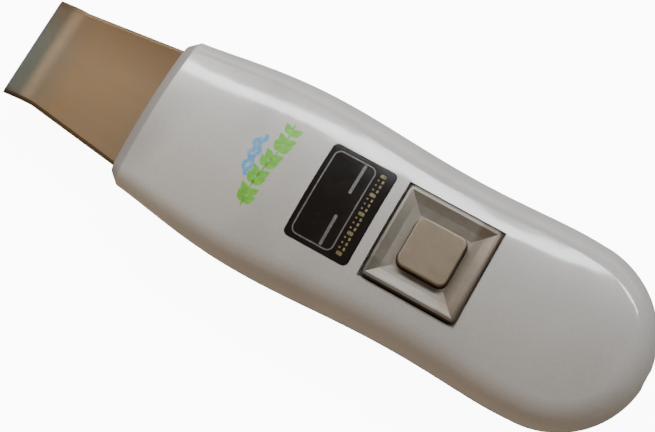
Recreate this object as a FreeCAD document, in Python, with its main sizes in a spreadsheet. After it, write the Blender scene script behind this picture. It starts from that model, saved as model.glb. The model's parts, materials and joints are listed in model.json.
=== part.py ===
import FreeCAD, Part
import os
import Sketcher

# Handheld ultrasonic facial spatula, in millimetres.
# X runs along the handle towards the blade tip, Z is up on the button side,
# and the origin lies under the middle of the overall length, on the rest plane.

doc = FreeCAD.newDocument("FacialSpatula")
V = FreeCAD.Vector

# Driving dimensions. Each one is written here once and kept in the spreadsheet.
SIZES = {
    # casing
    "housing_length": 134.4, "blade_reach": 35.6, "parting_height": 11.0, "wall": 2.0,
    "belly_flat_depth": 1.0, "mating_gap": 0.3, "front_bevel_length": 2.6,
    "front_bevel_depth": 2.0, "front_crest_round": 0.6, "seam_depth": 0.3,
    "seam_half_width": 0.15,
    "lip_height": 1.5, "lip_wall": 0.7, "screw_clearance": 0.05, "seat_clearance": 0.1,
    # bezel and button
    "bezel_from_tail": 56.5, "bezel_side": 24.5, "bezel_crown_radius": 110.0, "bezel_proud": 0.5,
    "bezel_rim": 1.1, "bezel_corner": 1.6, "bezel_bevel": 0.5, "bezel_gap": 0.4,
    "dish_floor": 2.1, "dish_crease": 0.3,
    "panel_seat_height": 19.0, "panel_pad": 1.4,
    "flange_clearance": 1.0, "button_side": 12.8, "button_corner": 2.0, "button_edge_round": 0.5,
    "button_gap": 0.3, "button_top_height": 23.3, "button_flange": 1.3,
    "button_flange_height": 1.0, "button_play": 0.05,
    # display window
    "window_from_bezel": 24.1, "window_length": 16.9, "window_width": 25.0,
    "window_corner": 1.4, "adhesive_thickness": 0.15, "window_ledge": 2.2,
    # circuit board
    "board_from_tail": 31.0, "board_length": 64.0, "board_width": 33.0, "board_thickness": 1.2,
    "board_height": 12.0, "board_hole_inset": 3.4, "board_boss_radius": 2.3,
    "board_screw_radius": 0.8, "board_screw_length": 5.0, "board_screw_head": 1.5,
    "board_screw_head_height": 1.1,
    # button switch
    "switch_side": 6.2, "switch_height": 3.0, "switch_cover": 0.25, "plunger_radius": 1.5,
    "plunger_running_gap": 0.06, "plunger_depth": 1.7, "plunger_travel_gap": 0.5,
    # lamps under the window
    "guide_length": 11.6, "guide_width": 19.4, "guide_cell_length": 8.4, "guide_cell_width": 2.6,
    "guide_cell_pitch": 3.7, "lamp_length": 1.6, "lamp_width": 0.8, "lamp_height": 0.6,
    # parts on the board
    "control_chip_side": 7.0, "control_chip_height": 1.0, "charge_chip_length": 4.9,
    "charge_chip_width": 3.9, "charge_chip_height": 1.4, "transistor_length": 4.5,
    "transistor_width": 2.4, "transistor_height": 1.6, "core_length": 9.0, "core_width": 8.0,
    "core_height": 5.0, "core_plate": 1.0, "core_leg_radius": 2.0, "winding_thickness": 1.7,
    "capacitor_radius": 2.5, "capacitor_height": 5.4, "connector_length": 4.0,
    "connector_width": 4.6, "connector_height": 3.0, "connector_spacing": 3.2,
    # battery
    "battery_from_tail": 25.0, "battery_length": 50.0, "battery_width": 20.0,
    "battery_thickness": 6.0, "foam_thickness": 1.6, "battery_corner": 2.0,
    "protection_thickness": 1.0, "protection_width": 16.0, "protection_height": 4.0,
    "pad_length": 12.0, "pad_width": 14.0, "wire_radius": 0.45,
    # blade and its mounting
    "blade_thickness": 1.0, "blade_root": 27.4, "blade_mouth_half": 16.8,
    "blade_neck_half": 13.6, "blade_neck_setback": 2.5, "blade_tip_half": 13.8,
    "blade_tip_length": 6.6, "blade_tip_drop": 2.4, "blade_tip_thickness": 0.5,
    "blade_bend_round": 11.0, "blade_bevel_width": 0.9, "blade_bevel_depth": 0.35,
    "tongue_half": 6.5, "tongue_length": 7.0, "horn_half": 8.4, "horn_length": 14.0,
    "horn_taper": 2.0, "blade_flare": 2.6,
    "mouth_gap": 1.0, "gasket_setback": 0.3, "piezo_radius": 6.5, "piezo_thickness": 1.0,
    "piezo_from_front": 13.0, "clamp_from_front": 23.4, "clamp_length": 5.0,
    "clamp_width": 24.4, "clamp_bar": 2.6, "clamp_screw_half": 9.7, "clamp_boss_radius": 2.4,
    "clamp_screw_radius": 0.9, "clamp_screw_length": 9.5, "clamp_screw_head": 1.8,
    "clamp_screw_head_height": 1.2, "damper_thickness": 1.0, "damper_width": 12.0,
    # casing screws
    "rear_screw_from_tail": 15.0, "rear_screw_half": 8.0, "front_screw_from_front": 29.4,
    "front_screw_half": 15.0, "case_boss_radius": 3.2, "case_screw_radius": 1.0,
    "case_screw_length": 9.0, "case_screw_head": 1.9, "case_screw_head_height": 1.8,
    "case_screw_seat": 6.5, "case_screw_recess": 2.3,
    # charging jack
    "jack_height": 11.0, "jack_setback": 0.4, "jack_nose_radius": 2.6, "jack_nose_length": 3.5,
    "jack_body_length": 9.0, "jack_body_width": 6.6, "jack_body_height": 6.4,
    "jack_bore_radius": 1.75, "jack_bore_depth": 8.0, "jack_pin_radius": 0.65,
    "jack_pin_setback": 0.8, "jack_pin_tail_radius": 1.1, "jack_contact_thickness": 0.3,
    "jack_contact_width": 1.4, "jack_tag": 1.2,
}

# Casing cross-sections from the front face to the tail: distance behind the front face,
# half width, crown above the parting plane, belly below it, upper and lower side radius.
SECTIONS = {
    "front": (0.0, 20.3, 6.5, 6.0, 4.8, 4.2),
    "throat": (16.8, 22.6, 8.6, 8.8, 6.5, 6.0),
    "shoulder": (37.4, 24.4, 10.2, 10.9, 8.0, 7.0),
    "window": (61.8, 23.4, 10.9, 12.0, 9.0, 7.0),
    "waist": (84.4, 22.8, 11.0, 12.0, 9.0, 7.0),
    "tail": (110.8, 23.4, 10.4, 12.0, 8.5, 7.0),
}
SECTION_SIZES = ("distance", "half", "crown", "belly", "upper", "lower")
for section_name, numbers in SECTIONS.items():
    for kind, number in zip(SECTION_SIZES, numbers):
        SIZES[section_name + "_" + kind] = number

sheet = doc.addObject("Spreadsheet::Sheet", "Sizes")
for row, (alias, number) in enumerate(SIZES.items(), start=1):
    sheet.set("A%d" % row, alias)
    sheet.set("B%d" % row, str(number))
    sheet.setAlias("B%d" % row, alias)
doc.recompute()


class Formula:
    """A number together with the spreadsheet expression that gives it."""

    def __init__(self, text, value):
        self.text = text
        self.value = value

    def __add__(self, other):
        other = formula(other)
        return Formula("(%s + %s)" % (self.text, other.text), self.value + other.value)

    def __sub__(self, other):
        other = formula(other)
        return Formula("(%s - %s)" % (self.text, other.text), self.value - other.value)

    def __mul__(self, other):
        other = formula(other)
        return Formula("(%s * %s)" % (self.text, other.text), self.value * other.value)

    def __truediv__(self, other):
        other = formula(other)
        return Formula("(%s / %s)" % (self.text, other.text), self.value / other.value)

    def __neg__(self):
        return Formula("(0 - %s)" % self.text, -self.value)


def formula(item):
    """Take a plain number as a formula too."""
    return item if isinstance(item, Formula) else Formula(repr(float(item)), float(item))


class Named:
    """The spreadsheet's values by name."""

    def __getattr__(self, name):
        return Formula("Sizes." + name, float(sheet.get(name)))


S = Named()
ZERO = formula(0)
pieces = []


def bind(thing, prop, item):
    thing.setExpression(prop, formula(item).text)


def place(thing, x, y, z):
    bind(thing, "Placement.Base.x", x)
    bind(thing, "Placement.Base.y", y)
    bind(thing, "Placement.Base.z", z)
    return thing


def piece(thing, name):
    """Make an object one of the assembly's own sub-parts."""
    thing.Label = name
    pieces.append(thing)
    return thing


# ---- solids and booleans ----------------------------------------------------

def block(name, centre_x, centre_y, base_z, length, width, height):
    solid = doc.addObject("Part::Box", name)
    bind(solid, "Length", length)
    bind(solid, "Width", width)
    bind(solid, "Height", height)
    return place(solid, formula(centre_x) - formula(length) / 2,
                 formula(centre_y) - formula(width) / 2, base_z)


def rod(name, x, y, z, radius, length):
    """Upright cylinder standing on z."""
    solid = doc.addObject("Part::Cylinder", name)
    bind(solid, "Radius", radius)
    bind(solid, "Height", length)
    return place(solid, x, y, z)


def lying_rod(name, x, y, z, radius, length):
    """Cylinder that runs along +X from x."""
    solid = rod(name, x, y, z, radius, length)
    solid.Placement.Rotation = FreeCAD.Rotation(V(0, 1, 0), 90)
    return solid


def join(name, *solids):
    whole = doc.addObject("Part::MultiFuse", name)
    whole.Shapes = list(solids)
    return whole


def cut(name, base, *tools):
    result = doc.addObject("Part::Cut", name)
    result.Base = base
    result.Tool = tools[0] if len(tools) == 1 else join(name + "_tools", *tools)
    return result


def common(name, first, second):
    result = doc.addObject("Part::Common", name)
    result.Base = first
    result.Tool = second
    return result


def group(name, *solids):
    """Separate identical solids that share one node."""
    whole = doc.addObject("Part::Compound", name)
    whole.Links = list(solids)
    return whole


def both_sides(make, name, half, *rest):
    """One piece at +half and one at -half across the middle plane."""
    return [make(name + "_left", half, *rest), make(name + "_right", -half, *rest)]


def round_upright_edges(name, base, radius):
    doc.recompute()
    edges = [index for index, edge in enumerate(base.Shape.Edges, start=1)
             if edge.BoundBox.ZLength > 1e-6 and edge.BoundBox.XLength < 1e-6
             and edge.BoundBox.YLength < 1e-6]
    rounded = doc.addObject("Part::Fillet", name)
    rounded.Base = base
    rounded.Edges = [(index, radius.value, radius.value) for index in edges]
    return rounded


def edges_at(base, lowest_x, highest_x):
    """Numbers of the edges that lie within a slice across the handle."""
    slack = 1e-3
    return [index for index, edge in enumerate(base.Shape.Edges, start=1)
            if edge.BoundBox.XMin > lowest_x - slack and edge.BoundBox.XMax < highest_x + slack]


# ---- sketches ---------------------------------------------------------------

def origin_plane(body, role):
    return next(plane for plane in body.Origin.OriginFeatures if plane.Role == role)


def sketch_on(body, name, role="XY_Plane", offset=ZERO):
    sketch = body.newObject("Sketcher::SketchObject", name)
    sketch.AttachmentSupport = [(origin_plane(body, role), "")]
    sketch.MapMode = "FlatFace"
    bind(sketch, "AttachmentOffset.Base.z", offset)
    return sketch


def pin_point(sketch, geometry, end, x, y):
    """Hold one sketch point at a place that the spreadsheet gives."""
    for kind, item in (("DistanceX", x), ("DistanceY", y)):
        item = formula(item)
        index = sketch.addConstraint(
            Sketcher.Constraint(kind, -1, 1, geometry, end, item.value))
        bind(sketch, "Constraints[%d]" % index, item)


def polygon(sketch, corners):
    corners = [(formula(x), formula(y)) for x, y in corners]
    first = sketch.GeometryCount
    count = len(corners)
    for index, (x, y) in enumerate(corners):
        after_x, after_y = corners[(index + 1) % count]
        sketch.addGeometry(Part.LineSegment(V(x.value, y.value, 0),
                                            V(after_x.value, after_y.value, 0)), False)
    for index, (x, y) in enumerate(corners):
        before = first + (index - 1) % count
        sketch.addConstraint(Sketcher.Constraint("Coincident", before, 2, first + index, 1))
        pin_point(sketch, first + index, 1, x, y)


def rectangle(sketch, centre_x, centre_y, length, width):
    centre_x, centre_y = formula(centre_x), formula(centre_y)
    half_length, half_width = formula(length) / 2, formula(width) / 2
    polygon(sketch, [(centre_x - half_length, centre_y - half_width),
                     (centre_x + half_length, centre_y - half_width),
                     (centre_x + half_length, centre_y + half_width),
                     (centre_x - half_length, centre_y + half_width)])


def circle(sketch, x, y, radius):
    x, y, radius = formula(x), formula(y), formula(radius)
    index = sketch.addGeometry(
        Part.Circle(V(x.value, y.value, 0), V(0, 0, 1), radius.value), False)
    pin_point(sketch, index, 3, x, y)
    constraint = sketch.addConstraint(Sketcher.Constraint("Radius", index, radius.value))
    bind(sketch, "Constraints[%d]" % constraint, radius)


def pad(body, sketch, name, length, symmetric=False):
    feature = body.newObject("PartDesign::Pad", name)
    feature.Profile = sketch
    bind(feature, "Length", length)
    feature.Midplane = symmetric
    sketch.Visibility = False
    return feature


# ---- casing envelope --------------------------------------------------------

tail_x = -(S.housing_length + S.blade_reach) / 2
front_x = tail_x + S.housing_length
tip_x = front_x + S.blade_reach
tail_axis_x = tail_x + S.tail_half
bezel_x = tail_x + S.bezel_from_tail
window_x = bezel_x + S.window_from_bezel
SIDE_VIEW = FreeCAD.Rotation(V(0, 1, 0), V(0, 0, 1), V(1, 0, 0))


def arc(centre_y, centre_z, radius, start, end):
    ring = Part.Circle(V(centre_y, centre_z, 0), V(0, 0, 1), radius)
    return Part.ArcOfCircle(ring, start, end)


def span_radius(half, height, side):
    """Radius of the broad arc that meets two side arcs and rises to height."""
    reach = half - side
    return (reach * reach + height * height - side * side) / ((height - side) * 2)


def section_sketch(name, label, x, inset, floor_inset, whole=True):
    """Six tangent arcs, or the half of them at +Y closed along the middle."""
    size = {kind: getattr(S, name + "_" + kind) for kind in SECTION_SIZES}
    half, crown = size["half"] - inset, size["crown"] - inset
    belly = size["belly"] - floor_inset
    upper, lower = size["upper"] - inset, size["lower"] - inset
    top, bottom = span_radius(half, crown, upper), span_radius(half, belly, lower)
    quarter = V(1, 0, 0).getAngle(V(0, 1, 0))
    top_angle = V(0, 1, 0).getAngle(V((half - upper).value, (top - crown).value, 0))
    bottom_angle = V(0, 1, 0).getAngle(V((half - lower).value, (bottom - belly).value, 0))
    top_z, bottom_z = (crown - top).value, (bottom - belly).value
    upper_y, lower_y = (half - upper).value, (half - lower).value

    sketch = doc.addObject("Sketcher::SketchObject", label)
    Fix = Sketcher.Constraint
    if whole:
        sketch.addGeometry([
            arc(0, top_z, top.value, quarter - top_angle, quarter + top_angle),
            arc(-upper_y, 0, upper.value, quarter + top_angle, 2 * quarter),
            arc(-lower_y, 0, lower.value, 2 * quarter, 3 * quarter - bottom_angle),
            arc(0, bottom_z, bottom.value, 3 * quarter - bottom_angle, 3 * quarter + bottom_angle),
            arc(lower_y, 0, lower.value, 3 * quarter + bottom_angle, 4 * quarter),
            arc(upper_y, 0, upper.value, 0, quarter - top_angle)], False)
        for index in range(6):
            sketch.addConstraint(Fix("Tangent", index, 2, (index + 1) % 6, 1))
        for index, axis in ((0, -2), (3, -2), (1, -1), (4, -1), (5, -1)):
            sketch.addConstraint(Fix("PointOnObject", index, 3, axis))
        sketch.addConstraint(Fix("Equal", 1, 5))
        sketch.addConstraint(Fix("Equal", 2, 4))
        radii = ((5, upper), (4, lower), (0, top), (3, bottom))
    else:
        sketch.addGeometry([
            arc(0, bottom_z, bottom.value, 3 * quarter, 3 * quarter + bottom_angle),
            arc(lower_y, 0, lower.value, 3 * quarter + bottom_angle, 4 * quarter),
            arc(upper_y, 0, upper.value, 0, quarter - top_angle),
            arc(0, top_z, top.value, quarter - top_angle, quarter),
            Part.LineSegment(V(0, crown.value, 0), V(0, -belly.value, 0))], False)
        for index in range(3):
            sketch.addConstraint(Fix("Tangent", index, 2, index + 1, 1))
        for index in (3, 4):
            sketch.addConstraint(Fix("Coincident", index, 2, (index + 1) % 5, 1))
            sketch.addConstraint(Fix("PointOnObject", index, 2, -2))
        for index, axis in ((0, -2), (3, -2), (1, -1), (2, -1)):
            sketch.addConstraint(Fix("PointOnObject", index, 3, axis))
        radii = ((2, upper), (1, lower), (3, top), (0, bottom))
    side = 4 if whole else 1
    reach = sketch.addConstraint(Fix("DistanceX", -1, 1, side, 2, half.value))
    bind(sketch, "Constraints[%d]" % reach, half)
    for index, radius in radii:
        constraint = sketch.addConstraint(Fix("Radius", index, radius.value))
        bind(sketch, "Constraints[%d]" % constraint, radius)
    sketch.Placement.Rotation = SIDE_VIEW
    return place(sketch, x, ZERO, S.parting_height)


def envelope(label, inset, floor_inset):
    """The casing's outside, or a skin that lies inset within it."""
    sketches = []
    for name in SECTIONS:
        x = front_x - getattr(S, name + "_distance")
        if name == "front":
            x = x - inset
        if name == "tail":
            x = tail_axis_x
        sketches.append(section_sketch(name, label + "_" + name, x, inset, floor_inset))
    handle = doc.addObject("Part::Loft", label + "_handle")
    handle.Sections = sketches
    handle.Solid = True
    half = section_sketch("tail", label + "_half", tail_axis_x, inset, floor_inset, False)
    tail = doc.addObject("Part::Revolution", label + "_round_tail")
    tail.Source = half
    tail.Axis = V(0, 0, 1)
    bind(tail, "Base.x", tail_axis_x)
    tail.Angle = 180
    tail.Solid = True
    return join(label, handle, tail)


BIG = formula(400)
CREST_WAVER = 0.15
skin = envelope("skin", ZERO, ZERO)
doc.recompute()
rim_edges = edges_at(skin, front_x.value, front_x.value)
bevelled_skin = doc.addObject("Part::Chamfer", "bevelled_skin")
bevelled_skin.Base = skin
bevelled_skin.Edges = [(index, S.front_bevel_length.value, S.front_bevel_depth.value)
                       for index in rim_edges]
doc.recompute()
crest_x = (front_x - S.front_bevel_length).value
crest_edges = edges_at(bevelled_skin, crest_x - CREST_WAVER, crest_x + CREST_WAVER)
rounded_skin = doc.addObject("Part::Fillet", "rounded_skin")
rounded_skin.Base = bevelled_skin
rounded_skin.Edges = [(index, S.front_crest_round.value, S.front_crest_round.value)
                      for index in crest_edges]
under_rest = block("under_rest", ZERO, ZERO, -BIG, BIG, BIG, BIG)
casing = cut("casing", rounded_skin, under_rest)
above_parting = block("above_parting", ZERO, ZERO, S.parting_height, BIG, BIG, BIG)
below_parting = block("below_parting", ZERO, ZERO, S.parting_height - BIG, BIG, BIG, BIG)
cavity = envelope("cavity", S.wall, S.wall + S.belly_flat_depth)

# ---- positions shared by several pieces -------------------------------------

board_top = S.board_height + S.board_thickness
board_x = tail_x + S.board_from_tail + S.board_length / 2
board_front = board_x + S.board_length / 2
board_holes = [(board_x + side_x * (S.board_length / 2 - S.board_hole_inset),
                side_y * (S.board_width / 2 - S.board_hole_inset))
               for side_x in (formula(-1), formula(1)) for side_y in (formula(-1), formula(1))]
case_screws = [(tail_x + S.rear_screw_from_tail, S.rear_screw_half),
               (tail_x + S.rear_screw_from_tail, -S.rear_screw_half),
               (front_x - S.front_screw_from_front, S.front_screw_half),
               (front_x - S.front_screw_from_front, -S.front_screw_half)]
blade_base = S.parting_height - S.blade_thickness / 2
blade_top = blade_base + S.blade_thickness
clamp_x = front_x - S.clamp_from_front
clamp_screws = [(clamp_x, S.clamp_screw_half), (clamp_x, -S.clamp_screw_half)]
jack_body_x = tail_x + S.jack_setback + S.jack_nose_length
jack_body_base = S.jack_height - S.jack_body_height / 2
switch_top = board_top + S.switch_height
plunger_top = switch_top + S.plunger_travel_gap + S.switch_cover
flange_top = S.panel_seat_height - S.button_play
ledge_hole = S.button_side + (S.button_flange + S.flange_clearance) * 2


def rods(name, places, base_z, radius, length):
    return [rod("%s_%d" % (name, index), x, y, base_z, radius, length)
            for index, (x, y) in enumerate(places, start=1)]


# ---- casing shells ----------------------------------------------------------

def panel_pads():
    """Thicker roof under the bezel and the window, where both are seated."""
    base = S.panel_seat_height - S.panel_pad
    bezel_pad = block("bezel_pad", bezel_x, ZERO, base, S.bezel_side + S.wall * 2,
                      S.bezel_side + S.wall * 2, BIG)
    window_pad = block("window_pad", window_x, ZERO, base, S.window_length + S.wall * 2,
                       S.window_width + S.wall * 2, BIG)
    return [bezel_pad, window_pad]


def panel_openings():
    """Recesses for bezel and window, and the openings through their floors."""
    seat_side = S.bezel_side + S.bezel_gap * 2
    bezel_seat = block("bezel_seat", bezel_x, ZERO, S.panel_seat_height, seat_side, seat_side,
                       BIG)
    bezel_through = block("bezel_through", bezel_x, ZERO, board_top, ledge_hole, ledge_hole, BIG)
    window_blank = block("window_seat_blank", window_x, ZERO, S.panel_seat_height,
                         S.window_length + S.seat_clearance * 2,
                         S.window_width + S.seat_clearance * 2, BIG)
    window_seat = round_upright_edges("window_seat", window_blank, S.window_corner)
    window_through = block("window_through", window_x, ZERO, board_top,
                           S.window_length - S.window_ledge * 2,
                           S.window_width - S.window_ledge * 2, BIG)
    return [bezel_seat, bezel_through, window_seat, window_through]


def blade_mouth(name):
    """Slot across the front wall, filled by the gasket."""
    return block(name, front_x, ZERO, blade_base - S.mouth_gap, S.wall * 4,
                 (S.blade_mouth_half + S.mouth_gap) * 2, S.blade_thickness + S.mouth_gap * 2)


def jack_opening(name):
    return lying_rod(name, tail_x - S.wall, ZERO, S.jack_height,
                     S.jack_nose_radius + S.seat_clearance, S.wall * 4)


def seam_groove(name):
    """Fine groove along the seam; each half gives up its own side of it."""
    core = envelope(name + "_core", S.seam_depth, S.seam_depth)
    slab = block(name + "_slab", ZERO, ZERO, S.parting_height - S.seam_half_width, BIG, BIG,
                 S.seam_half_width * 2)
    return cut(name, slab, core)


def make_top_shell():
    board_bosses = rods("board_boss", board_holes, board_top, S.board_boss_radius, BIG)
    case_bosses = rods("case_boss_top", case_screws, S.parting_height, S.case_boss_radius, BIG)
    solid_parts = join("roof_thickening", *(panel_pads() + board_bosses + case_bosses))
    hollow = cut("top_hollow", cavity, solid_parts)
    groove = common("lip_groove", envelope("groove_skin", S.wall - S.lip_wall - S.mating_gap,
                                           S.wall),
                    block("groove_slab", ZERO, ZERO, S.parting_height - S.wall, BIG, BIG,
                          S.wall + S.lip_height + S.seat_clearance))
    board_pilots = rods("board_pilot", board_holes, board_top - S.wall,
                        S.board_screw_radius + S.screw_clearance, S.board_screw_length + S.wall)
    case_pilots = rods("case_pilot", case_screws, S.parting_height - S.wall,
                       S.case_screw_radius + S.screw_clearance,
                       S.case_screw_seat + S.case_screw_length - S.parting_height + S.wall
                       + S.seat_clearance)
    boss_cores = rods("groove_boss_top", case_screws, S.parting_height, S.case_boss_radius,
                      S.lip_height * 2)
    groove_clear = cut("groove_clear_of_bosses", groove, *boss_cores)
    blank = common("top_blank", casing, above_parting)
    tools = [hollow, groove_clear, seam_groove("seam_top")] + panel_openings() + board_pilots + case_pilots
    return cut("top_shell", blank, *(tools + [blade_mouth("mouth_top"),
                                              jack_opening("jack_opening_top")]))


def make_bottom_shell():
    lip = common("lip", envelope("lip_skin", S.wall - S.lip_wall, S.wall),
                 block("lip_slab", ZERO, ZERO, S.parting_height - S.wall, BIG, BIG,
                       S.wall + S.lip_height))
    case_bosses = rods("case_boss_bottom", case_screws, ZERO, S.case_boss_radius,
                       S.parting_height)
    clamp_bosses = rods("clamp_boss", clamp_screws, ZERO, S.clamp_boss_radius, blade_base)
    tongue_rib = block("tongue_rib", clamp_x, ZERO, ZERO, S.clamp_length, S.damper_width,
                       blade_base - S.damper_thickness)
    jack_cradle = block("jack_cradle", jack_body_x + S.jack_body_length / 2, ZERO, ZERO,
                        S.jack_body_length - S.jack_tag * 2, S.jack_body_width, jack_body_base)
    rib_parts = case_bosses + clamp_bosses + [tongue_rib, jack_cradle]
    hollow = cut("bottom_hollow", cavity, join("floor_ribs", *rib_parts))
    blank = join("bottom_blank", common("bottom_half", casing, below_parting), lip)
    recesses = rods("screw_recess", case_screws, -S.wall, S.case_screw_recess,
                    S.case_screw_seat + S.wall)
    passages = rods("screw_passage", case_screws, -S.wall,
                    S.case_screw_radius + S.screw_clearance, S.parting_height * 2)
    pilots = rods("clamp_pilot", clamp_screws, blade_base - S.clamp_screw_length + S.clamp_bar
                  + S.damper_thickness + S.blade_thickness - S.seat_clearance,
                  S.clamp_screw_radius + S.screw_clearance, S.clamp_screw_length * 2)
    tools = [hollow, seam_groove("seam_bottom")] + recesses + passages + pilots
    return cut("bottom_shell", blank, *(tools + [blade_mouth("mouth_bottom"),
                                                 jack_opening("jack_opening_bottom")]))


piece(make_top_shell(), "top_shell")
piece(make_bottom_shell(), "bottom_shell")


# ---- blade and its mounting -------------------------------------------------

def make_blade():
    """Spring-steel strip: bent tip outside, horn and tongue inside."""
    body = doc.addObject("PartDesign::Body", "blade")
    root_x = front_x - S.blade_root
    bend_x = tip_x - S.blade_tip_length
    profile = sketch_on(body, "blade_profile", "XZ_Plane")
    polygon(profile, [(root_x, blade_base), (bend_x, blade_base),
                      (tip_x, blade_base - S.blade_tip_drop),
                      (tip_x, blade_base - S.blade_tip_drop + S.blade_tip_thickness),
                      (bend_x, blade_top), (root_x, blade_top)])
    strip = pad(body, profile, "strip", S.blade_mouth_half * 2 + S.wall, symmetric=True)
    doc.recompute()
    bend = ["Edge%d" % index for index in edges_at(strip, bend_x.value, bend_x.value)]
    bend_round = body.newObject("PartDesign::Fillet", "bend_round")
    bend_round.Base = (strip, bend)
    bind(bend_round, "Radius", S.blade_bend_round)

    outline = sketch_on(body, "blade_outline", "XY_Plane")
    tongue_end = root_x + S.tongue_length
    horn_start = tongue_end + S.horn_taper
    horn_end = horn_start + S.horn_length - S.horn_taper
    neck_x = bend_x - S.blade_neck_setback
    beyond = tip_x + S.wall
    outside = S.blade_mouth_half + S.wall
    edge = [(root_x - S.wall, S.tongue_half), (tongue_end, S.tongue_half),
            (horn_start, S.horn_half), (horn_end, S.horn_half),
            (horn_end + S.blade_flare, S.blade_mouth_half), (front_x, S.blade_mouth_half),
            (neck_x, S.blade_neck_half), (tip_x, S.blade_tip_half), (beyond, S.blade_tip_half),
            (beyond, outside), (root_x - S.wall, outside)]
    polygon(outline, edge)
    polygon(outline, [(x, -y) for x, y in edge])
    trim = body.newObject("PartDesign::Pocket", "outline_trim")
    trim.Profile = outline
    trim.Type = "ThroughAll"
    trim.Midplane = True
    outline.Visibility = False
    doc.recompute()
    upper = ["Edge%d" % index for index in edges_at(trim, front_x.value, tip_x.value)
             if trim.Shape.Edges[index - 1].BoundBox.XLength > 1e-2
             and trim.Shape.Edges[index - 1].BoundBox.ZMax > blade_base.value + 1e-2]
    bevel = body.newObject("PartDesign::Chamfer", "edge_bevel")
    bevel.Base = (trim, upper)
    bevel.ChamferType = "Two distances"
    bind(bevel, "Size", S.blade_bevel_depth)
    bind(bevel, "Size2", S.blade_bevel_width)
    return body


def make_gasket(blade):
    depth = S.wall - S.gasket_setback
    seat = block("gasket_block", front_x - S.gasket_setback - depth / 2, ZERO,
                 blade_base - S.mouth_gap, depth, (S.blade_mouth_half + S.mouth_gap) * 2,
                 S.blade_thickness + S.mouth_gap * 2)
    slot = block("gasket_slot", front_x, ZERO, blade_base, S.wall * 4,
                 S.blade_mouth_half * 2, S.blade_thickness)
    return cut("blade_gasket", seat, slot)


def make_clamp():
    bar_base = blade_top + S.damper_thickness
    bar = block("clamp_bar_solid", clamp_x, ZERO, bar_base, S.clamp_length, S.clamp_width,
                S.clamp_bar)
    foot_width = S.clamp_width / 2 - S.tongue_half - S.seat_clearance * 4
    feet = both_sides(
        lambda name, y: block(name, clamp_x, y, blade_base, S.clamp_length, foot_width,
                              bar_base - blade_base),
        "clamp_foot", S.clamp_width / 2 - foot_width / 2)
    holes = rods("clamp_hole", clamp_screws, blade_base - S.wall,
                 S.clamp_screw_radius + S.screw_clearance, S.clamp_screw_length)
    return cut("blade_clamp", join("clamp_blank", bar, *feet), *holes)


def screws(name, places, seat_z, radius, length, head_radius, head_height, upwards):
    """Panhead screws: the head lies under the seat when the shank points up."""
    made = []
    for index, (x, y) in enumerate(places, start=1):
        label = "%s_%d" % (name, index)
        shank_z = seat_z if upwards else seat_z - length
        head_z = seat_z - head_height if upwards else seat_z
        shank = rod(label + "_shank", x, y, shank_z, radius, length)
        head = rod(label + "_head", x, y, head_z, head_radius, head_height)
        slot_z = head_z if upwards else head_z + head_height / 2
        cross = [block(label + "_slot_a", x, y, slot_z, head_radius, head_radius / 4,
                       head_height / 2),
                 block(label + "_slot_b", x, y, slot_z, head_radius / 4, head_radius,
                       head_height / 2)]
        made.append(cut(label, join(label + "_blank", shank, head), *cross))
    return group(name, *made)


blade = piece(make_blade(), "blade")
piece(make_gasket(blade), "blade_gasket")
piezo_x = front_x - S.piezo_from_front
piece(rod("piezo_disc_upper", piezo_x, ZERO, blade_top, S.piezo_radius, S.piezo_thickness),
      "piezo_disc_upper")
piece(rod("piezo_disc_lower", piezo_x, ZERO, blade_base - S.piezo_thickness, S.piezo_radius,
          S.piezo_thickness), "piezo_disc_lower")
piece(group("damper_pads",
            block("damper_upper", clamp_x, ZERO, blade_top, S.clamp_length, S.damper_width,
                  S.damper_thickness),
            block("damper_lower", clamp_x, ZERO, blade_base - S.damper_thickness,
                  S.clamp_length, S.damper_width, S.damper_thickness)), "damper_pads")
piece(make_clamp(), "blade_clamp")
piece(screws("clamp_screws", clamp_screws, blade_top + S.damper_thickness + S.clamp_bar,
             S.clamp_screw_radius, S.clamp_screw_length, S.clamp_screw_head,
             S.clamp_screw_head_height, False), "clamp_screws")


# ---- bezel, button and window -----------------------------------------------

def rim_height(y):
    """Height of the bezel's crowned rim at y from the middle."""
    radius = S.bezel_crown_radius.value
    top = (S.parting_height + S.waist_crown + S.bezel_proud).value
    return top - radius + (radius ** 2 - y ** 2) ** 0.5


def dish_tool():
    """Hollow of the bezel: four creased slopes from the rim to the button opening."""
    rim = S.bezel_side.value / 2 - S.bezel_rim.value
    hole = (S.button_side / 2 + S.button_gap).value
    floor = (S.panel_seat_height + S.dish_floor).value
    middle = (rim + hole) / 2

    def square(half, height, crown):
        corners = [V(bezel_x.value + x * half, y * half, height)
                   for x, y in ((1, -1), (1, 1), (-1, 1), (-1, -1), (1, -1))]
        edges = [Part.makeLine(start, end) for start, end in zip(corners, corners[1:])]
        if crown:
            for side, start in ((0, 0), (2, 2)):
                top = V(corners[start].x, 0, height + crown)
                edges[side] = Part.Arc(corners[start], top, corners[start + 1]).toShape()
        return Part.Wire(edges)

    edge = rim_height(rim)
    wires = [square(hole, floor, 0), square(middle, floor + S.dish_crease.value, 0),
             square(rim, edge, rim_height(0) - edge), square(rim, edge + S.wall.value * 2, 0)]
    tool = doc.addObject("Part::Feature", "dish_tool")
    tool.Shape = Part.makeLoft(wires, True, True)
    return tool


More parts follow.
